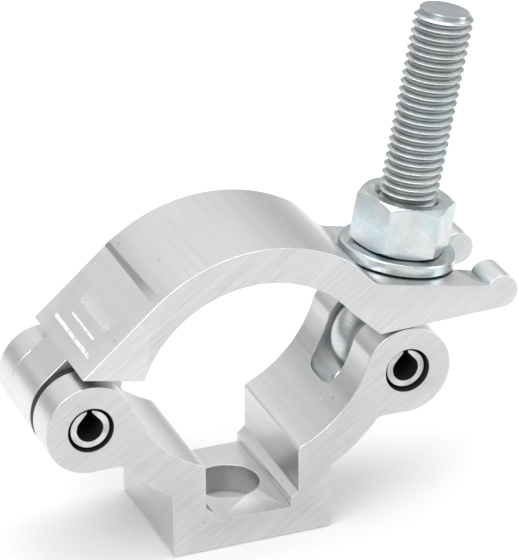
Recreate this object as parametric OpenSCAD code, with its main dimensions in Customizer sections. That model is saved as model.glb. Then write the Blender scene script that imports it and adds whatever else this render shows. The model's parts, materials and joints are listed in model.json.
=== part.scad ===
// Hinged pipe clamp: a slotted base, a swinging upper jaw and an eye bolt with nut and washer.
// Frame: origin at the centre of the foot's underside, on the fixing hole's axis.
// +X points towards the swing bolt, +Y runs along the tube, +Z is up. Millimetres.

/* [Body] */
// Width of base and jaw along the tube
body_w = 30; // [26:1:36]
// Half length of the foot
foot_hx = 16.9; // [16:0.1:18]
// Height of the foot's straight side
foot_h = 13.9; // [13:0.1:15]
// Radius of the saddle that holds the tube
bore_r = 26.1; // [26.1:0.05:26.4]
// Height of the saddle's centre above the foot
bore_z = 43.4; // [43.2:0.1:43.8]
// Outer radius of the two arms, about the saddle's centre
arm_r = 34; // [33.5:0.1:34.5]

/* [Hinges] */
// Half distance between the two hinge axes
hinge_x = 33.3; // [33:0.1:33.6]
// Height of the hinge axes
hinge_z = 32; // [31.9:0.1:32.1]
// Outer radius of the hinge bosses and of the jaw's knuckle
boss_r = 9.25; // [9:0.05:9.35]
// Diameter of the pin holes in the base
ear_hole_d = 9.3; // [9:0.1:10]
// Width of the slot between the left ears
ear_gap = 14; // [12:0.5:16]
// Radius of the left slot's floor about the hinge
ear_floor_r = 10.3; // [10:0.1:10.8]
// Diameter of the spring pins
pin_d = 8; // [7:0.5:8.5]
// Wall of the spring pins
pin_wall = 1.3; // [1:0.1:1.6]
// Width of the slit along each spring pin
pin_slit = 1; // [0.6:0.1:1.4]
// Length of the spring pins
pin_l = 28; // [26:0.5:29]

// Outer radius of the spacer ring that fills the gap in front of the knuckle
spacer_r = 9.2; // [8:0.1:9.3]
// Clearance beside each face of the spacer ring; round the pin it is three times this
spacer_fit = 0.05; // [0.03:0.01:0.15]

/* [Foot channel and fixing hole] */
// Half width of the channel that takes a hexagon head
channel_hx = 9.8; // [9.2:0.1:10]
// Height of the channel's side step
channel_step_z = 9.6; // [9:0.1:10]
// Half width of the lower groove
groove_hx = 8.1; // [7.6:0.1:8.6]
// Height of the groove's floor
groove_z = 6.2; // [5:0.1:7]
// Diameter of the fixing hole
fix_hole_d = 13.5; // [11:0.5:14]

/* [Bolt slot in the base] */
// Width of the slot that takes the bolt's eye
eye_slot_w = 12.5; // [12.3:0.1:13.5]
// Radius of the slot's cutter about the hinge
eye_slot_r = 14.5; // [14:0.1:15]
// Corner radius of that cutter
eye_slot_c = 4; // [2:0.5:5]

/* [Upper jaw] */
// Width of the jaw's knuckle between the ears
knuckle_w = 12; // [11:0.2:12]
// Shift of the knuckle towards the rear ear, where the jaw sits in its side play
knuckle_y = 0.9; // [0.5:0.1:0.9]
// Radius of the jaw's outer arc
jaw_out_r = 33.45; // [33.3:0.05:33.6]
// Radius of the jaw's inner arc
jaw_in_r = 25.06; // [24.9:0.02:25.2]
// Slope of the flat at the hinge end, in degrees
shoulder_a = 40.2; // [39.8:0.2:40.6]
// Width of the fork's open slot
fork_w = 13.2; // [13:0.2:15]
// Radius of the round lip at the fork's end
lip_r = 3.5; // [3.3:0.1:3.7]

/* [Bolt, nut and washer] */
// Lean of the bolt away from upright, in degrees
bolt_a = 11.2; // [10.6:0.1:11.4]
// Outer diameter of the bolt's thread
bolt_d = 11.9; // [11.7:0.05:11.95]
// Distance from the hinge axis to the bolt's tip
bolt_tip = 71; // [60:1:90]
// Radius of the bolt's round eye
eye_r = 9.75; // [9.4:0.05:9.9]
// Width across the eye's two flats
eye_w = 12; // [11:0.1:12]
// Distance from the hinge axis to the washer's underside
seat_h = 18.62; // [18.6:0.01:18.8]
// Washer outer diameter
washer_d = 24; // [22:0.5:26]
// Washer hole diameter
washer_id = 13; // [12.5:0.1:13.5]
// Washer thickness
washer_t = 2.5; // [2:0.1:3]
// Nut width across its flats
nut_af = 18; // [17:0.5:19]
// Nut height
nut_h = 10.8; // [9:0.2:12]
// Clearance of the nut's bore round the thread, on the radius
nut_fit = 0.07; // [0.05:0.01:0.1]
// Turn of the nut about its own axis, in degrees
nut_turn = -12; // [-30:1:30]

/* [Hidden] */
round_fn = 96;          // every circle above is a true circle
edge = 0.6;             // small chamfers
over = 1;               // how far a cutter runs past the face it cuts
hw = body_w / 2;

// Hinge axes and the bolt's own frame
left = [-hinge_x, hinge_z];
right = [hinge_x, hinge_z];
dir = [sin(bolt_a), cos(bolt_a)];
seat_gap = 0.12;        // running gap under the washer
flat_h = seat_h - seat_gap;

// Base: where the boss underside runs level into the arm, with a 2 mm fillet
fil = 2;
boss_low = hinge_z - boss_r + 0.1;
fil_z = boss_low - fil;
fil_x = sqrt(pow(arm_r + fil, 2) - pow(bore_z - fil_z, 2));
fil_on_arm = [fil_x * arm_r / (arm_r + fil),
              bore_z - (bore_z - fil_z) * arm_r / (arm_r + fil)];

// Jaw: arcs, tangent points and the fork's flat
jaw_out = [2.2, 30.6];
jaw_in = [1.34, 31.8];
tan_l = [cos(90 + shoulder_a), sin(90 + shoulder_a)];
sh_low = left + boss_r * tan_l;
sh_top = jaw_out + jaw_out_r * tan_l;
arc_end_a = 56.1;
arc_end = jaw_out + jaw_out_r * [cos(arc_end_a), sin(arc_end_a)];
slope_a = -47;
flat_p = right + flat_h * dir;                  // bolt axis meets the fork's flat
flat_v = [cos(bolt_a), -sin(bolt_a)];           // along the flat, outwards
slope_v = [cos(slope_a), sin(slope_a)];
// corner where the slope would meet the flat, then its rounding
den = slope_v[0] * flat_v[1] - slope_v[1] * flat_v[0];
dif = flat_p - arc_end;
corner = arc_end + slope_v * ((dif[0] * flat_v[1] - dif[1] * flat_v[0]) / den);
cr = 4;
turn = -slope_a - bolt_a;
run = cr * tan(turn / 2);
cr_a = corner - run * slope_v;
cr_b = corner + run * flat_v;
cr_c = cr_b + cr * dir;                         // centre of the rounding
lip_c = [53.7, 45.7];
under_in = [27.45, 41.13];                      // underside, inboard end
under_out = [lip_c[0], lip_c[1] - lip_r + 0.05];
under_v = (under_out - under_in) / norm(under_out - under_in);
throat = jaw_in + (jaw_in_r - 0.3) * [cos(47), sin(47)];
throat_v = (under_in - throat) / norm(under_in - throat);
// line where the jaw stops short of the ears
stop_a = [-34.7, 43.0];
stop_b = [-22.4, 40.5];
stop_v = (stop_b - stop_a) / norm(stop_b - stop_a);

// Extrudes an XZ outline along Y, centred on y = mid
module along_y(w, mid = 0) {
    translate([0, mid + w / 2, 0]) rotate([90, 0, 0]) linear_extrude(w) children();
}

// Round bar along Y through an XZ point
module bar_y(p, r, w, mid = 0) {
    translate([p[0], mid + w / 2, p[1]]) rotate([90, 0, 0])
        cylinder(r = r, h = w, $fn = round_fn);
}

// Puts its children in the bolt's frame: z along the bolt, origin on the hinge
module on_bolt() {
    translate([hinge_x, 0, hinge_z]) rotate([0, bolt_a, 0]) children();
}

module base_outline() {
    // foot with softened lower corners
    polygon([[-foot_hx + edge, 0], [foot_hx - edge, 0], [foot_hx, edge],
             [foot_hx, foot_h + 3], [-foot_hx, foot_h + 3], [-foot_hx, edge]]);
    // both arms: a disc cut off along the lines from its centre to the hinges
    intersection() {
        translate([0, bore_z]) circle(arm_r, $fn = round_fn);
        polygon([[0, bore_z], [-hinge_x * 1.4, bore_z + (hinge_z - bore_z) * 1.4],
                 [-hinge_x * 1.4, 4], [hinge_x * 1.4, 4],
                 [hinge_x * 1.4, bore_z + (hinge_z - bore_z) * 1.4]]);
    }
    for (s = [-1, 1]) scale([s, 1]) {
        translate(right) circle(boss_r, $fn = round_fn);
        translate([fil_x - 4, boss_low]) square([hinge_x - fil_x + 4, 8]);
        difference() {
            polygon([fil_on_arm, [fil_x, fil_z], [fil_x, boss_low + 0.5],
                     [fil_x - 3, boss_low + 0.5]]);
            translate([fil_x, fil_z]) circle(fil, $fn = 48);
        }
    }
}

// Everything cut out of the base along its full width
module base_cuts() {
    translate([0, bore_z]) circle(bore_r, $fn = round_fn);
    lip = 0.7;
    lip_z = bore_z - sqrt(pow(bore_r, 2) - pow(channel_hx + lip, 2)) - lip;
    polygon([[-groove_hx, groove_z], [groove_hx, groove_z],
             [groove_hx, channel_step_z - 1.4], [channel_hx, channel_step_z],
             [channel_hx, lip_z], [channel_hx + 4, lip_z + 4],
             [-channel_hx - 4, lip_z + 4], [-channel_hx, lip_z],
             [-channel_hx, channel_step_z], [-groove_hx, channel_step_z - 1.4]]);
}

module base_body() {
    color([0.80, 0.81, 0.82]) difference() {
        along_y(body_w) base_outline();
        along_y(body_w + 2 * over) base_cuts();
        for (p = [left, right]) bar_y(p, ear_hole_d / 2, body_w + 2 * over);
        // left slot for the jaw's knuckle
        bar_y(left, ear_floor_r, ear_gap);
        // right slot for the bolt's eye: a wheel with rounded rims
        translate([hinge_x, 0, hinge_z]) rotate([90, 0, 0])
            rotate_extrude($fn = round_fn) intersection() {
                union() {
                    translate([0, -eye_slot_w / 2])
                        square([eye_slot_r - eye_slot_c, eye_slot_w]);
                    translate([0, -eye_slot_w / 2 + eye_slot_c])
                        square([eye_slot_r, eye_slot_w - 2 * eye_slot_c]);
                    for (s = [-1, 1])
                        translate([eye_slot_r - eye_slot_c,
                                   s * (eye_slot_w / 2 - eye_slot_c)])
                            circle(eye_slot_c, $fn = 48);
                }
                translate([0, -eye_slot_w]) square([2 * eye_slot_r, 2 * eye_slot_w]);
            }
        translate([0, 0, -over])
            cylinder(d = fix_hole_d, h = groove_z + 2 * over, $fn = round_fn);
    }
}

// Jaw before its slots: knuckle, shoulder flat, arc, slope, fork and lip
module jaw_solid() {
    w = body_w;
    difference() {
        union() {
            difference() {
                union() {
                    bar_y(left, boss_r, w);
                    along_y(w) polygon([left, sh_low, sh_top, [-6, 44], [-20, hinge_z]]);
                    intersection() {
                        bar_y(jaw_out, jaw_out_r, w);
                        along_y(w + 2) polygon(concat([jaw_out],
                            [for (a = [35:23:150]) jaw_out + 60 * [cos(a), sin(a)]]));
                    }
                    along_y(w) polygon([[14, 52], [26, 56], [lip_c[0], 56], under_out,
                                        under_in - 3 * under_v, [14, 48]]);
                }
                // above the slope and the fork's flat, with the rounding between
                along_y(w + 2) polygon([arc_end - 12 * slope_v, cr_a, cr_c, cr_b,
                    flat_p + 25 * flat_v, [70, 80], [arc_end[0] - 8, 80]]);
                bar_y(cr_c, cr, w + 2);
            }
            bar_y(lip_c, lip_r, w);
        }
        bar_y(jaw_in, jaw_in_r, w + 2);
        // below the throat's sloping face
        along_y(w + 2) polygon([throat, under_in + 1.5 * throat_v,
                                [under_in[0], 28], [jaw_in[0] + 2, 28]]);
    }
}

module upper_jaw() {
    color([0.83, 0.84, 0.85]) difference() {
        jaw_solid();
        // clearance for the two ears
        for (s = [-1, 1])
            along_y(hw + 2 * over - s * knuckle_y - knuckle_w / 2,
                    (s * (hw + 2 * over) + knuckle_y + s * knuckle_w / 2) / 2)
                polygon([stop_a - 10 * stop_v, stop_b + 4 * stop_v,
                         stop_b + [4, -22], [-50, 18]]);
        bar_y(left, pin_d / 2 - 0.02, body_w + 2 * over);
        // shallow round seat that lets the washer clear the slope
        on_bolt() translate([-0.25, 0, flat_h - 0.03])
            cylinder(r = washer_d / 2 + 1, h = 12, $fn = round_fn);
        // fork slot, closed inboard by a half round
        on_bolt() translate([-0.4, 0, 4]) {
            cylinder(d = fork_w, h = 30, $fn = round_fn);
            translate([0, -fork_w / 2, 0]) cube([40, fork_w, 30]);
        }
    }
}

// Plastic ring on the hinge pin, between the front ear and the knuckle
module hinge_spacer() {
    front = -ear_gap / 2 + spacer_fit;
    back = knuckle_y - knuckle_w / 2 - spacer_fit;
    color([0.05, 0.05, 0.055]) difference() {
        bar_y(left, spacer_r, back - front, (front + back) / 2);
        bar_y(left, pin_d / 2 + 3 * spacer_fit, ear_gap);
    }
}

// Spring pin along Y: a tube with a slit and a drop-shaped inside
module spring_pin(p, mid) {
    ri = pin_d / 2 - pin_wall;
    along_y(pin_l, mid) translate(p) difference() {
        circle(pin_d / 2, $fn = round_fn);
        circle(ri, $fn = round_fn);
        polygon([[-ri * 0.8, ri * 0.6], [-pin_slit / 2, pin_d / 2 - 0.5],
                 [-pin_slit / 2, pin_d], [pin_slit / 2, pin_d],
                 [pin_slit / 2, pin_d / 2 - 0.5], [ri * 0.8, ri * 0.6]]);
    }
}

module hinge_pin() {
    color([0.62, 0.64, 0.66]) spring_pin(left, -0.3);
}

module swing_bolt_pin() {
    color([0.62, 0.64, 0.66]) spring_pin(right, 0.1);
}

module swing_bolt() {
    tip_c = 1.1;
    color([0.72, 0.78, 0.80]) difference() {
        on_bolt() union() {
            intersection() {
                sphere(eye_r, $fn = round_fn);
                cube([3 * eye_r, eye_w, 3 * eye_r], center = true);
            }
            intersection() {
                cylinder(d = bolt_d, h = bolt_tip - tip_c, $fn = round_fn);
                translate([0, 0, bolt_tip / 2])
                    cube([20, eye_w + 2, bolt_tip], center = true);
            }
            translate([0, 0, bolt_tip - tip_c])
                cylinder(d1 = bolt_d, d2 = bolt_d - 2 * tip_c, h = tip_c, $fn = round_fn);
        }
        bar_y(right, pin_d / 2 - 0.02, body_w);
    }
}

module washer() {
    c = 0.3;
    color([0.74, 0.80, 0.82]) on_bolt() translate([0, 0, seat_h])
        rotate_extrude($fn = round_fn)
            polygon([[washer_id / 2, 0], [washer_d / 2 - c, 0], [washer_d / 2, c],
                     [washer_d / 2, washer_t - c], [washer_d / 2 - c, washer_t],
                     [washer_id / 2, washer_t]]);
}

module nut() {
    rc = nut_af / 2 / cos(30);
    rf = nut_af / 2 - 0.2;
    ch = (rc - rf) * tan(30);
    bore = bolt_d / 2 + nut_fit;
    lead = 0.8;             // countersink at each end of the bore
    color([0.70, 0.76, 0.78])
        on_bolt() translate([0, 0, seat_h + washer_t + 0.02]) rotate([0, 0, nut_turn])
            difference() {
                intersection() {
                    cylinder(r = rc, h = nut_h, $fn = 6);
                    rotate_extrude($fn = round_fn)
                        polygon([[0, 0], [rf, 0], [rc + 0.01, ch], [rc + 0.01, nut_h - ch],
                                 [rf, nut_h], [0, nut_h]]);
                }
                translate([0, 0, -over])
                    cylinder(r = bore, h = nut_h + 2 * over, $fn = round_fn);
                for (z = [-0.01, nut_h - lead + 0.01])
                    translate([0, 0, z])
                        cylinder(r1 = z < 0 ? bore + lead : bore,
                                 r2 = z < 0 ? bore : bore + lead, h = lead, $fn = round_fn);
            }
}

base_body();
upper_jaw();
hinge_pin();
hinge_spacer();
swing_bolt();
swing_bolt_pin();
washer();
nut();
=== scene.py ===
import json
import math

import bmesh
import bpy
from mathutils import Matrix, Vector


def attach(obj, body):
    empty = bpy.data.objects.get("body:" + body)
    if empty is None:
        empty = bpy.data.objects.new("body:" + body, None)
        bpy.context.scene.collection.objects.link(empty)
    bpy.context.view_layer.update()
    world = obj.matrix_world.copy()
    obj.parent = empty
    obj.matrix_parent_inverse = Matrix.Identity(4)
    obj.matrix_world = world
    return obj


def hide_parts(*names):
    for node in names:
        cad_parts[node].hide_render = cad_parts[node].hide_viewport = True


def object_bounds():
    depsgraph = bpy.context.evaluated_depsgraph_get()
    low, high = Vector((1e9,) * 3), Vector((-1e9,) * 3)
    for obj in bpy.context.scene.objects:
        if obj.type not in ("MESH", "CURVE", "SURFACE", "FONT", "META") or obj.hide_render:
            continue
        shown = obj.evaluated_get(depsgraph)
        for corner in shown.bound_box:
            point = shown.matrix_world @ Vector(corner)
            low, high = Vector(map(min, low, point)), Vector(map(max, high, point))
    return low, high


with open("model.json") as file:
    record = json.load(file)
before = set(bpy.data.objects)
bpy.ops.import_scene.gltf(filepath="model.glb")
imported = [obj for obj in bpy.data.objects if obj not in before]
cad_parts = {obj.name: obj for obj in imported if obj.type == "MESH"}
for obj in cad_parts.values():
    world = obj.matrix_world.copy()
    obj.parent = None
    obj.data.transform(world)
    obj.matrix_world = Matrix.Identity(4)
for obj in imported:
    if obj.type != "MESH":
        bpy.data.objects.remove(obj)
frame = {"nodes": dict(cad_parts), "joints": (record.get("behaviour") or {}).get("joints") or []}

cad_box = [list(corner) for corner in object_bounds()]
scene = bpy.context.scene
MM = 0.001

# ---------------------------------------------------------------- camera
AZIMUTH, ELEVATION, ROLL = math.radians(-21.17), math.radians(25.95), math.radians(-0.5)
TARGET = Vector((7.62, 0.0, 50.08)) * MM
DISTANCE = 701.93 * MM
SENSOR = 36.0
FOCAL_IN_IMAGE_HEIGHTS = 6.3264

back = Vector((math.sin(AZIMUTH) * math.cos(ELEVATION),
               -math.cos(AZIMUTH) * math.cos(ELEVATION), math.sin(ELEVATION)))
right = (-back).cross(Vector((0, 0, 1))).normalized()
up = right.cross(-back)
right_r = right * math.cos(ROLL) + up * math.sin(ROLL)
up_r = up * math.cos(ROLL) - right * math.sin(ROLL)

cam_data = bpy.data.cameras.new("camera")
cam_data.sensor_fit = "AUTO"
cam_data.sensor_width = SENSOR
cam_data.lens = SENSOR * FOCAL_IN_IMAGE_HEIGHTS
cam_data.dof.use_dof = False
camera = bpy.data.objects.new("camera", cam_data)
scene.collection.objects.link(camera)
turn = Matrix((right_r, up_r, back)).transposed().to_4x4()
camera.matrix_world = Matrix.Translation(TARGET + back * DISTANCE) @ turn
scene.camera = camera

# ---------------------------------------------------------------- places taken from the frame
joints = {j["name"]: j for j in frame["joints"]}
HINGE_L = Vector(joints["jaw_hinge"]["pos_m"])
HINGE_R = Vector(joints["bolt_swing"]["pos_m"])
BOLT_DIR = Vector(joints["washer_slide"]["axis"]).normalized()
ALONG_Y = Vector((0, 1, 0))


def height_on_bolt(node, pick):
    """Least or greatest distance of a node's vertices along the bolt from its hinge."""
    return pick((v.co - HINGE_R).dot(BOLT_DIR) for v in frame["nodes"][node].data.vertices)


# ---------------------------------------------------------------- node helper
class Graph:
    """Small helper that adds shader nodes to one material."""

    def __init__(self, material):
        material.use_nodes = True
        self.tree = material.node_tree
        self.tree.nodes.clear()
        self.out = self.add("ShaderNodeOutputMaterial")
        self.bsdf = self.add("ShaderNodeBsdfPrincipled")
        self.tree.links.new(self.bsdf.outputs[0], self.out.inputs[0])
        coord = self.add("ShaderNodeTexCoord")
        self.place = coord.outputs["Object"]
        self.normal = coord.outputs["Normal"]

    def add(self, kind, **values):
        node = self.tree.nodes.new(kind)
        for key, value in values.items():
            setattr(node, key, value)
        return node

    def feed(self, socket, value):
        if hasattr(value, "is_output"):
            self.tree.links.new(value, socket)
        else:
            socket.default_value = value

    def math(self, operation, a, b=0.0, c=None, clamp=False):
        node = self.add("ShaderNodeMath", operation=operation, use_clamp=clamp)
        self.feed(node.inputs[0], a)
        self.feed(node.inputs[1], b)
        if c is not None:
            self.feed(node.inputs[2], c)
        return node.outputs[0]

    def vmath(self, operation, a, b=(0, 0, 0)):
        node = self.add("ShaderNodeVectorMath", operation=operation)
        self.feed(node.inputs[0], a)
        self.feed(node.inputs[1], b)
        return node.outputs["Value" if operation in ("DOT_PRODUCT", "LENGTH") else "Vector"]

    def axis(self, index, vector):
        node = self.add("ShaderNodeSeparateXYZ")
        self.feed(node.inputs[0], vector)
        return node.outputs[index]

    def step(self, value, low, high):
        """0 below low, 1 above high, smooth between."""
        node = self.add("ShaderNodeMapRange", interpolation_type="SMOOTHSTEP")
        self.feed(node.inputs["Value"], value)
        self.feed(node.inputs["From Min"], low)
        self.feed(node.inputs["From Max"], high)
        return node.outputs[0]

    def scale(self, value, low, high):
        """Maps 0..1 to low..high."""
        return self.math("MULTIPLY_ADD", value, high - low, low)

    def noise(self, vector, scale, detail=3.0, rough=0.5):
        node = self.add("ShaderNodeTexNoise")
        self.feed(node.inputs["Vector"], vector)
        node.inputs["Scale"].default_value = scale
        node.inputs["Detail"].default_value = detail
        node.inputs["Roughness"].default_value = rough
        return node.outputs["Fac"]

    def stretch(self, vector, turn_y, factors):
        """Turns a place about Y and scales it unevenly, to draw streaks."""
        node = self.add("ShaderNodeMapping", vector_type="POINT")
        self.feed(node.inputs["Vector"], vector)
        node.inputs["Rotation"].default_value = (0, turn_y, 0)
        return self.vmath("MULTIPLY", node.outputs[0], factors)

    def mix(self, factor, a, b):
        node = self.add("ShaderNodeMix", data_type="RGBA")
        self.feed(node.inputs["Factor"], factor)
        self.feed(node.inputs[6], a)
        self.feed(node.inputs[7], b)
        return node.outputs[2]

    def blend(self, factor, a, b):
        """Number between a and b."""
        node = self.add("ShaderNodeMix", data_type="FLOAT")
        self.feed(node.inputs["Factor"], factor)
        self.feed(node.inputs[2], a)
        self.feed(node.inputs[3], b)
        return node.outputs[0]

    def from_axis(self, point, direction):
        """Distance of a place from the line through point along direction."""
        offset = self.vmath("SUBTRACT", self.place, tuple(point))
        crossed = self.vmath("CROSS_PRODUCT", offset, tuple(direction))
        return self.vmath("LENGTH", crossed)

    def along(self, point, direction):
        offset = self.vmath("SUBTRACT", self.place, tuple(point))
        return self.vmath("DOT_PRODUCT", offset, tuple(direction))

    def band(self, value, low, high, soft):
        """1 between low and high, with soft edges."""
        return self.math("MULTIPLY", self.step(value, low - soft, low + soft),
                         self.math("SUBTRACT", 1.0, self.step(value, high - soft, high + soft)))

    def bump(self, height, strength, distance, under=None):
        node = self.add("ShaderNodeBump")
        node.inputs["Strength"].default_value = strength
        node.inputs["Distance"].default_value = distance
        self.feed(node.inputs["Height"], height)
        if under is not None:
            self.feed(node.inputs["Normal"], under)
        return node.outputs[0]

    def edge(self, low=0.52, high=0.60):
        """Outer edges, from the surface's own curvature: worn edges, and on the metals also a
        painted edge highlight.
        """
        return self.step(self.add("ShaderNodeNewGeometry").outputs["Pointiness"], low, high)

    def finish(self, colour, rough, metallic=1.0, normal=None):
        self.feed(self.bsdf.inputs["Base Color"], colour)
        self.feed(self.bsdf.inputs["Roughness"], rough)
        self.feed(self.bsdf.inputs["Metallic"], metallic)
        if normal is not None:
            self.feed(self.bsdf.inputs["Normal"], normal)


# ---------------------------------------------------------------- aluminium
SAW_ANGLE = math.radians(34)         # lean of the saw lines on the cut faces
SCRATCH_ANGLE = math.radians(-52)    # lean of the longer scratches


def aluminium(name, light, painted_shade_mask=None, marks=None):
    """Satin extruded aluminium: sawn front and back faces, drawn surfaces elsewhere.
    painted_shade_mask(graph) gives a mask of places darkened to near black with painted shade;
    marks(graph) one of pale etching."""
    material = bpy.data.materials.new(name)
    g = Graph(material)
    cut = g.step(g.math("ABSOLUTE", g.axis(1, g.normal)), 0.85, 0.97)    # 1 on the sawn faces

    saw = g.noise(g.stretch(g.place, SAW_ANGLE, (90, 90, 2600)), 1.0, 4.0, 0.65)
    saw_wide = g.noise(g.stretch(g.place, SAW_ANGLE, (30, 30, 420)), 1.0, 3.0, 0.6)
    drawn = g.noise(g.vmath("MULTIPLY", g.place, (2400, 24, 2400)), 1.0, 3.0, 0.6)
    drawn_wide = g.noise(g.vmath("MULTIPLY", g.place, (500, 9, 500)), 1.0, 2.0, 0.5)
    lines = g.blend(cut, drawn, saw)
    lines_wide = g.blend(cut, drawn_wide, saw_wide)
    cloud = g.noise(g.place, 70.0, 3.0, 0.55)

    # small dark pits, thinly spread
    cells = g.add("ShaderNodeTexVoronoi", feature="F1")
    g.feed(cells.inputs["Vector"], g.place)
    cells.inputs["Scale"].default_value = 330.0
    sparse = g.step(g.noise(g.place, 210.0, 1.0, 0.4), 0.60, 0.68)
    pits = g.math("MULTIPLY", g.math("SUBTRACT", 1.0, g.step(cells.outputs["Distance"], 0.05, 0.16)),
                  sparse)

    # a few longer hairline scratches
    scratch_place = g.stretch(g.place, SCRATCH_ANGLE, (1500, 900, 26))
    scratches = g.step(g.noise(scratch_place, 1.0, 2.0, 0.5), 0.70, 0.76)

    tone = g.math("ADD", g.math("MULTIPLY", lines, 0.45), g.math("MULTIPLY", lines_wide, 0.55))
    tone = g.math("ADD", g.math("MULTIPLY", tone, 0.75), g.math("MULTIPLY", cloud, 0.25))
    dark = tuple(c * 0.90 for c in light) + (1,)
    bright = tuple(min(1.0, c * 1.05) for c in light) + (1,)
    colour = g.mix(g.step(tone, 0.32, 0.68), dark, bright)
    colour = g.mix(g.math("MULTIPLY", pits, 0.55), colour, (0.22, 0.22, 0.23, 1))
    colour = g.mix(g.math("MULTIPLY", scratches, 0.35), colour, (0.97, 0.97, 0.98, 1))
    # worn edges plus a painted edge highlight: outer edges mixed towards near white
    edge = g.edge()
    colour = g.mix(g.math("MULTIPLY", edge, 0.8), colour, (0.97, 0.975, 0.98, 1))
    grey = tuple(c * 0.64 for c in light) + (1,)
    streaks = g.scale(g.step(lines, 0.35, 0.65), 0.50, 0.30)
    colour = g.mix(g.math("MULTIPLY", cut, streaks), colour, grey)
    rough = g.blend(cut, g.scale(lines, 0.28, 0.40), g.scale(lines, 0.46, 0.58))
    rough = g.blend(edge, rough, 0.22)
    if marks is not None:
        etched = marks(g)
        colour = g.mix(etched, colour, (0.98, 0.98, 0.98, 1))
        rough = g.blend(etched, rough, 0.7)
    metallic = 1.0
    # painted shade: the mask's places are mixed to near black and made non-metallic
    if painted_shade_mask is not None:
        shadow = painted_shade_mask(g)
        colour = g.mix(shadow, colour, (0.012, 0.012, 0.013, 1))
        rough = g.blend(shadow, rough, 0.9)
        metallic = g.math("SUBTRACT", 1.0, shadow)
    relief = g.math("ADD", g.math("MULTIPLY", lines, 0.6), g.math("MULTIPLY", lines_wide, 0.4))
    relief = g.math("SUBTRACT", relief, pits)
    normal = g.bump(relief, 0.12, 0.00006)
    g.finish(colour, rough, metallic, normal)
    return material


def inside_round(g, point, radius, soft=0.05 * MM):
    """Mask of what lies nearer than radius to a hinge line."""
    return g.math("SUBTRACT", 1.0, g.step(g.from_axis(point, ALONG_Y), radius - soft, radius + soft))


PIN_HOLE_R = 4.71 * MM       # just past the wall of the 9.3 mm pin holes


def base_shadows(g):
    """Painted shade that darkens the walls of the two pin holes to near black."""
    return g.math("MAXIMUM", inside_round(g, HINGE_L, PIN_HOLE_R),
                  inside_round(g, HINGE_R, PIN_HOLE_R), clamp=True)


# Plain etched bars and panel on the shoulder flat, in mm: start and end up the slope, then along Y
SHOULDER_ANGLE = math.radians(40.2)
SHOULDER_START = Vector((-34.7, 0.0, 43.0)) * MM
SHOULDER_DIR = Vector((math.cos(SHOULDER_ANGLE), 0.0, math.sin(SHOULDER_ANGLE)))
SHOULDER_UP = Vector((-SHOULDER_DIR.z, 0.0, SHOULDER_DIR.x))
BARS = ((3.4, 4.2, -10.6, 9.8), (6.4, 6.9, -7.0, 5.8), (15.8, 16.3, -8.0, 7.0))
PANEL = (9.2, 14.2, -8.2, 7.2)
HATCH_PITCH = 0.9 * MM


def jaw_marks(g):
    """Three ruled bars and a hatched panel: plain decoration with no lettering."""
    slope = g.along(SHOULDER_START, SHOULDER_DIR)
    level = g.math("ABSOLUTE", g.along(SHOULDER_START, SHOULDER_UP))
    y = g.axis(1, g.place)
    total = 0.0
    for low, high, front, rear in BARS:
        bar = g.math("MULTIPLY", g.band(slope, low * MM, high * MM, 0.05 * MM),
                     g.band(y, front * MM, rear * MM, 0.08 * MM))
        total = g.math("MAXIMUM", total, bar)
    low, high, front, rear = PANEL
    panel = g.math("MULTIPLY", g.band(slope, low * MM, high * MM, 0.05 * MM),
                   g.band(y, front * MM, rear * MM, 0.08 * MM))
    diagonal = g.math("DIVIDE", g.math("ADD", slope, y), HATCH_PITCH)
    stripes = g.band(g.math("FRACT", diagonal), 0.25, 0.75, 0.08)
    total = g.math("MAXIMUM", total, g.math("MULTIPLY", panel, stripes))
    broken = g.step(g.noise(g.place, 1500.0, 2.0, 0.6), 0.30, 0.5)
    on_flat = g.math("SUBTRACT", 1.0, g.step(level, 0.05 * MM, 0.12 * MM))
    return g.math("MULTIPLY", g.math("MULTIPLY", total, on_flat),
                  g.math("MULTIPLY", broken, 0.95), clamp=True)


# ---------------------------------------------------------------- steel
def zinc_steel(name, painted_shade_mask, tint=0.6, rough_range=(0.16, 0.34)):
    """Bright zinc plating with a faint blue passivation and fine handling marks.
    painted_shade_mask(graph) gives a mask of places darkened with painted shade."""
    material = bpy.data.materials.new(name)
    g = Graph(material)
    cloud = g.noise(g.place, 260.0, 4.0, 0.6)
    fine = g.noise(g.place, 2600.0, 3.0, 0.6)
    hue = g.step(g.noise(g.place, 120.0, 2.0, 0.5), 0.42, 0.64)
    colour = g.mix(g.step(cloud, 0.3, 0.7), (0.54, 0.56, 0.565, 1), (0.66, 0.675, 0.675, 1))
    colour = g.mix(g.math("MULTIPLY", hue, tint * 0.5), colour, (0.45, 0.63, 0.69, 1))
    scuff = g.step(g.noise(g.stretch(g.place, 0.7, (3000, 300, 120)), 1.0, 2.0, 0.5), 0.62, 0.72)
    colour = g.mix(g.math("MULTIPLY", scuff, 0.3), colour, (0.95, 0.96, 0.96, 1))
    # worn edges plus a painted edge highlight: outer edges mixed towards near white
    edge = g.edge(0.53, 0.62)
    colour = g.mix(g.math("MULTIPLY", edge, 0.6), colour, (0.96, 0.97, 0.97, 1))
    rough = g.scale(fine, *rough_range)
    # painted shade: the mask's places are mixed to a near-black grey
    shadow = painted_shade_mask(g)
    colour = g.mix(shadow, colour, (0.02, 0.035, 0.04, 1))
    rough = g.blend(shadow, rough, 0.6)
    normal = g.bump(g.math("ADD", g.math("MULTIPLY", fine, 0.5), cloud), 0.10, 0.00004)
    g.finish(colour, rough, 1.0, normal)
    return material


THREAD_MAJOR = 5.93 * MM
THREAD_PITCH = 1.75 * MM
THREAD_DEPTH = 0.947 * MM
# where the painted shade in the thread roots starts along the bolt, and how softly it fades in
ROOT_SHADE_START = 15.0 * MM     # above the eye, measured along the bolt from its hinge
ROOT_SHADE_SOFT = 0.5 * MM
TIP_CLEAN = 0.3 * MM         # the tip's own face stays bright


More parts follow.
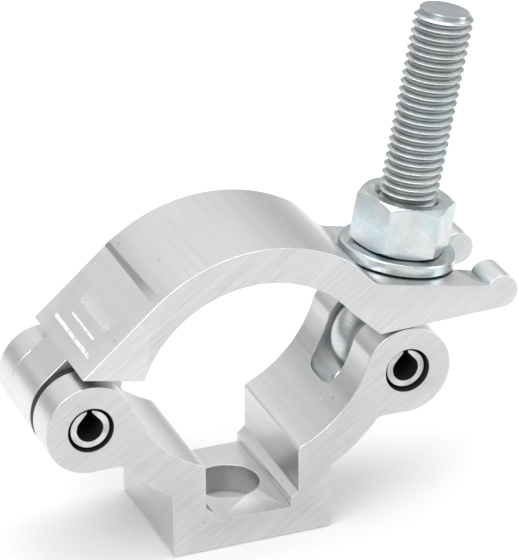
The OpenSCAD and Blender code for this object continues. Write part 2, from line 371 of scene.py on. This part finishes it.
def thread_valleys(g):
    """Painted shade in the thread's roots, from above the eye to just under the tip."""
    deep = g.math("SUBTRACT", 1.0, g.step(g.from_axis(HINGE_R, BOLT_DIR),
                                          THREAD_MAJOR - 0.92 * THREAD_DEPTH,
                                          THREAD_MAJOR - 0.35 * THREAD_DEPTH))
    high = g.along(HINGE_R, BOLT_DIR)
    threaded = g.band(high, ROOT_SHADE_START, bolt_tip - TIP_CLEAN, ROOT_SHADE_SOFT)
    return g.math("MULTIPLY", g.math("MULTIPLY", deep, threaded), 0.5, clamp=True)


def shadow_line_below(node):
    """Painted shadow: a dark line along the lowest rim of a washer or nut."""
    bottom = height_on_bolt(node, min)

    def mask(g):
        high = g.along(HINGE_R, BOLT_DIR)
        # painted shadow line just above the rim's lowest point
        line = g.math("SUBTRACT", 1.0, g.step(high, bottom + 0.16 * MM, bottom + 0.26 * MM))
        return g.math("MULTIPLY", line, 0.97)
    return mask


def spring_steel(name):
    """Dull spring steel, with painted shade that turns every face but the two ends black, so the
    rolled tube looks dark inside.
    """
    material = bpy.data.materials.new(name)
    g = Graph(material)
    fine = g.noise(g.place, 1800.0, 3.0, 0.6)
    wide = g.noise(g.place, 300.0, 2.0, 0.5)
    colour = g.mix(g.step(wide, 0.3, 0.7), (0.40, 0.40, 0.39, 1), (0.66, 0.66, 0.65, 1))
    colour = g.mix(g.math("MULTIPLY", g.step(fine, 0.35, 0.7), 0.3), colour, (0.8, 0.8, 0.79, 1))
    faces = g.step(g.math("ABSOLUTE", g.axis(1, g.normal)), 0.5, 0.8)
    # painted shade: faces not facing along Y, the tube's curved walls, go near black and
    # non-metallic
    tube_painted_shade = g.math("SUBTRACT", 1.0, faces)
    colour = g.mix(tube_painted_shade, colour, (0.01, 0.01, 0.01, 1))
    g.finish(colour, g.blend(tube_painted_shade, g.scale(fine, 0.3, 0.5), 0.85),
             g.math("SUBTRACT", 1.0, tube_painted_shade), g.bump(fine, 0.12, 0.00004))
    return material


def black_plastic(name):
    """Black moulded plastic with a fine grain, rubbed grey in places and along its edges."""
    material = bpy.data.materials.new(name)
    g = Graph(material)
    grain = g.noise(g.place, 5200.0, 3.0, 0.6)
    wide = g.noise(g.place, 420.0, 3.0, 0.5)
    colour = g.mix(g.step(wide, 0.35, 0.7), (0.012, 0.012, 0.013, 1), (0.028, 0.028, 0.030, 1))
    colour = g.mix(g.math("MULTIPLY", g.edge(), 0.5), colour, (0.09, 0.09, 0.092, 1))
    g.finish(colour, g.scale(wide, 0.42, 0.62), 0.0, g.bump(grain, 0.25, 0.00003))
    g.bsdf.inputs["Specular IOR Level"].default_value = 0.2
    return material


# ---------------------------------------------------------------- meshes
def new_object(name, bm):
    mesh = bpy.data.meshes.new(name)
    bm.to_mesh(mesh)
    bm.free()
    piece = bpy.data.objects.new(name, mesh)
    scene.collection.objects.link(piece)
    return piece


def shade(piece, limit=math.radians(50)):
    """Smooth shading with sharp edges kept above the limit."""
    for polygon in piece.data.polygons:
        polygon.use_smooth = True
    piece.data.set_sharp_from_angle(angle=limit)


def flatten_normals(piece):
    """Large faces keep their true direction beside the small rounded edges."""
    weighted = piece.modifiers.new("true_flats", "WEIGHTED_NORMAL")
    weighted.mode = "FACE_AREA"
    weighted.weight = 100
    weighted.keep_sharp = True


def welded(node):
    bm = bmesh.new()
    bm.from_mesh(frame["nodes"][node].data)
    bmesh.ops.remove_doubles(bm, verts=bm.verts, dist=2e-6)
    bmesh.ops.dissolve_limit(bm, angle_limit=math.radians(0.6), verts=bm.verts, edges=bm.edges)
    return bm


SEAT_R = 13.0 * MM           # the washer's seat, cut into the jaw round the bolt
SEAT_RIM = 0.45 * MM         # how near that radius a point counts as on the rim
SEAT_REACH = 12.0 * MM       # the seat starts this far inboard of the bolt's hinge


def on_seat(v):
    """True for a point on the rim of the washer's seat."""
    across = (v.co - HINGE_R) - BOLT_DIR * (v.co - HINGE_R).dot(BOLT_DIR)
    return abs(across.length - SEAT_R) < SEAT_RIM and v.co.x > HINGE_R.x - SEAT_REACH


def soften(bm, width, over=math.radians(22)):
    """Rounds every edge sharper than over, except at the seat and beside tiny steps."""
    tiny = {v for e in bm.edges if e.calc_length() < 0.3 * width for v in e.verts}
    tiny |= {v for v in bm.verts if on_seat(v)}
    sharp = [e for e in bm.edges if len(e.link_faces) == 2 and e.calc_face_angle(0) > over
             and not tiny.intersection(e.verts)]
    bmesh.ops.bevel(bm, geom=sharp, offset=width, offset_type="OFFSET", segments=2,
                    profile=0.5, affect="EDGES", clamp_overlap=False, miter_outer="ARC")
    bmesh.ops.remove_doubles(bm, verts=bm.verts, dist=4e-6)
    bmesh.ops.dissolve_degenerate(bm, dist=2e-6, edges=bm.edges)


def stand_for(piece, node, body, material):
    """Gives a piece its material and puts it in a CAD node's place."""
    piece.data.materials.append(material)
    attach(piece, body)
    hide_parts(node)


def refined(node, name, width, body, material):
    """Copy of a CAD node with rounded edges, which stands for it."""
    bm = welded(node)
    soften(bm, width)
    bmesh.ops.recalc_face_normals(bm, faces=bm.faces)
    piece = new_object(name, bm)
    shade(piece)
    flatten_normals(piece)
    stand_for(piece, node, body, material)


def thread_shell(bottom, top, columns=80):
    """Closed right-hand thread along +Z between two heights, chamfered at the top."""
    crest = THREAD_PITCH / 8
    flank = (THREAD_PITCH - crest - THREAD_PITCH / 4) / 2
    root_r = THREAD_MAJOR - THREAD_DEPTH
    edge_in, edge_down = 0.05 * MM, 0.06 * MM        # small chamfer beside the crest
    profile = ((0.0, THREAD_MAJOR - edge_down), (edge_in, THREAD_MAJOR),
               (crest - edge_in, THREAD_MAJOR), (crest, THREAD_MAJOR - edge_down),
               (crest + flank, root_r), (THREAD_PITCH - flank, root_r))
    rows_per_pitch = len(profile)
    first = math.floor(bottom / THREAD_PITCH) - 2
    last = math.ceil(top / THREAD_PITCH) + 2
    runout = 2.0 * THREAD_PITCH                      # the thread rises from a plain shank
    tip_r = root_r - 0.15 * MM                       # radius of the tip's flat face
    bm = bmesh.new()
    grid = []
    for turn_number in range(first, last + 1):
        for offset, radius in profile:
            row = []
            for column in range(columns):
                share = column / columns
                z = (turn_number + share) * THREAD_PITCH + offset
                z = min(max(z, bottom), top)
                fade = min(1.0, (z - bottom) / runout)
                r = THREAD_MAJOR + (radius - THREAD_MAJOR) * fade
                r = min(r, tip_r + (top - z))
                angle = 2 * math.pi * share
                row.append(bm.verts.new((r * math.cos(angle), r * math.sin(angle), z)))
            grid.append(row)
    count = len(grid)
    for i in range(count - 1):
        for column in range(columns - 1):
            bm.faces.new((grid[i][column], grid[i][column + 1],
                          grid[i + 1][column + 1], grid[i + 1][column]))
        j = i + rows_per_pitch
        if j + 1 < count:
            bm.faces.new((grid[i][-1], grid[j][0], grid[j + 1][0], grid[i + 1][-1]))
    bmesh.ops.remove_doubles(bm, verts=bm.verts, dist=1e-6)
    bmesh.ops.dissolve_degenerate(bm, dist=1e-7, edges=bm.edges)
    loose = [v for v in bm.verts if not v.link_faces]
    bmesh.ops.delete(bm, geom=loose, context="VERTS")
    open_edges = [e for e in bm.edges if len(e.link_faces) == 1]
    bmesh.ops.holes_fill(bm, edges=open_edges, sides=0)
    return bm


# ---------------------------------------------------------------- build the pieces
bolt_tip = height_on_bolt("swing_bolt", max)
base_metal = aluminium("base_aluminium_sawn", (0.66, 0.668, 0.675), base_shadows)
jaw_metal = aluminium("jaw_aluminium_sawn", (0.68, 0.688, 0.695), marks=jaw_marks)
bolt_metal = zinc_steel("bolt_zinc", thread_valleys)
nut_metal = zinc_steel("nut_zinc", shadow_line_below("nut"), tint=0.8, rough_range=(0.20, 0.40))
washer_metal = zinc_steel("washer_zinc", shadow_line_below("washer"), tint=1.0)
pin_metal = spring_steel("pin_spring_steel")
ring_plastic = black_plastic("spacer_black_plastic")

refined("base_body", "clamp_base", 0.22 * MM, "base", base_metal)
refined("upper_jaw", "clamp_jaw", 0.22 * MM, "jaw", jaw_metal)
refined("hinge_pin", "jaw_spring_pin", 0.10 * MM, "jaw", pin_metal)
refined("hinge_spacer", "hinge_spacer_ring", 0.12 * MM, "jaw", ring_plastic)
refined("swing_bolt_pin", "bolt_spring_pin", 0.10 * MM, "bolt", pin_metal)
refined("washer", "clamp_washer", 0.08 * MM, "washer", washer_metal)
refined("nut", "clamp_nut", 0.16 * MM, "nut", nut_metal)

THREAD_START = 12.0 * MM     # inside the fork's slot, measured along the bolt from its hinge
THREAD_SUNK = 0.4 * MM       # how far the thread's foot sinks into the eye


def eye_bolt():
    """The CAD eye, cut off square to the bolt, with a real thread standing on it."""
    bm = welded("swing_bolt")
    bmesh.ops.bisect_plane(bm, geom=list(bm.verts) + list(bm.edges) + list(bm.faces),
                           plane_co=HINGE_R + BOLT_DIR * THREAD_START, plane_no=BOLT_DIR,
                           clear_outer=True)
    bmesh.ops.holes_fill(bm, edges=[e for e in bm.edges if len(e.link_faces) == 1], sides=0)
    soften(bm, 0.15 * MM, over=math.radians(35))
    lean = Vector((0, 0, 1)).rotation_difference(BOLT_DIR).to_matrix().to_4x4()
    thread = thread_shell(THREAD_START - THREAD_SUNK, bolt_tip)
    thread.transform(Matrix.Translation(HINGE_R) @ lean)
    thread_mesh = bpy.data.meshes.new("thread_part")
    thread.to_mesh(thread_mesh)
    thread.free()
    bm.from_mesh(thread_mesh)
    bpy.data.meshes.remove(thread_mesh)
    bmesh.ops.recalc_face_normals(bm, faces=bm.faces)
    piece = new_object("threaded_eye_bolt", bm)
    shade(piece, math.radians(24))
    stand_for(piece, "swing_bolt", "bolt", bolt_metal)


eye_bolt()

# ---------------------------------------------------------------- floor and light
def pale_floor():
    bm = bmesh.new()
    bmesh.ops.create_grid(bm, x_segments=8, y_segments=8, size=3.0)
    just_below = cad_box[0][2] - 0.02 * MM
    bm.transform(Matrix.Translation((0, 0, just_below)))
    floor = new_object("floor", bm)
    material = bpy.data.materials.new("floor_white")
    g = Graph(material)
    g.finish((0.90, 0.90, 0.90, 1), 0.9, 0.0)
    g.bsdf.inputs["Specular IOR Level"].default_value = 0.1
    floor.data.materials.append(material)


def softbox(name, place, aim, size, power):
    data = bpy.data.lights.new(name, "AREA")
    data.shape = "RECTANGLE"
    data.size, data.size_y = size
    data.energy = power
    light = bpy.data.objects.new(name, data)
    scene.collection.objects.link(light)
    light.location = place
    light.rotation_euler = (Vector(aim) - Vector(place)).to_track_quat("-Z", "Y").to_euler()


# Grey of the surroundings from straight down (0) to straight up (1), with a darker band at
# eye height that gives the metal something to reflect
WORLD_GREYS = ((0.0, 0.75), (0.50, 0.50), (0.58, 0.45), (0.70, 0.92), (1.0, 1.05))


def studio_world():
    world = bpy.data.worlds.new("studio")
    scene.world = world
    world.use_nodes = True
    tree = world.node_tree
    tree.nodes.clear()
    out = tree.nodes.new("ShaderNodeOutputWorld")
    sky = tree.nodes.new("ShaderNodeBackground")
    ramp = tree.nodes.new("ShaderNodeValToRGB")
    coord = tree.nodes.new("ShaderNodeTexCoord")
    split = tree.nodes.new("ShaderNodeSeparateXYZ")
    half = tree.nodes.new("ShaderNodeMath")         # turns -1..1 into 0..1
    half.operation = "MULTIPLY_ADD"
    half.inputs[1].default_value = 0.5
    half.inputs[2].default_value = 0.5
    tree.links.new(coord.outputs["Generated"], split.inputs[0])
    tree.links.new(split.outputs["Z"], half.inputs[0])
    tree.links.new(half.outputs[0], ramp.inputs[0])
    tree.links.new(ramp.outputs[0], sky.inputs[0])
    tree.links.new(sky.outputs[0], out.inputs[0])
    while len(ramp.color_ramp.elements) < len(WORLD_GREYS):
        ramp.color_ramp.elements.new(0.5)
    for element, (position, grey) in zip(ramp.color_ramp.elements, WORLD_GREYS):
        element.position = position
        element.color = (grey, grey, grey, 1)
    sky.inputs[1].default_value = 1.0


pale_floor()
centre = (0.008, 0.0, 0.045)
softbox("key_left", (-0.55, -0.45, 0.75), centre, (0.5, 0.5), 2.6)
softbox("top", (0.10, 0.15, 0.95), centre, (0.8, 0.6), 2.4)
softbox("fill_right", (0.85, -0.25, 0.35), centre, (0.35, 0.6), 1.6)
studio_world()
scene.view_settings.view_transform = "Standard"
scene.view_settings.look = "None"
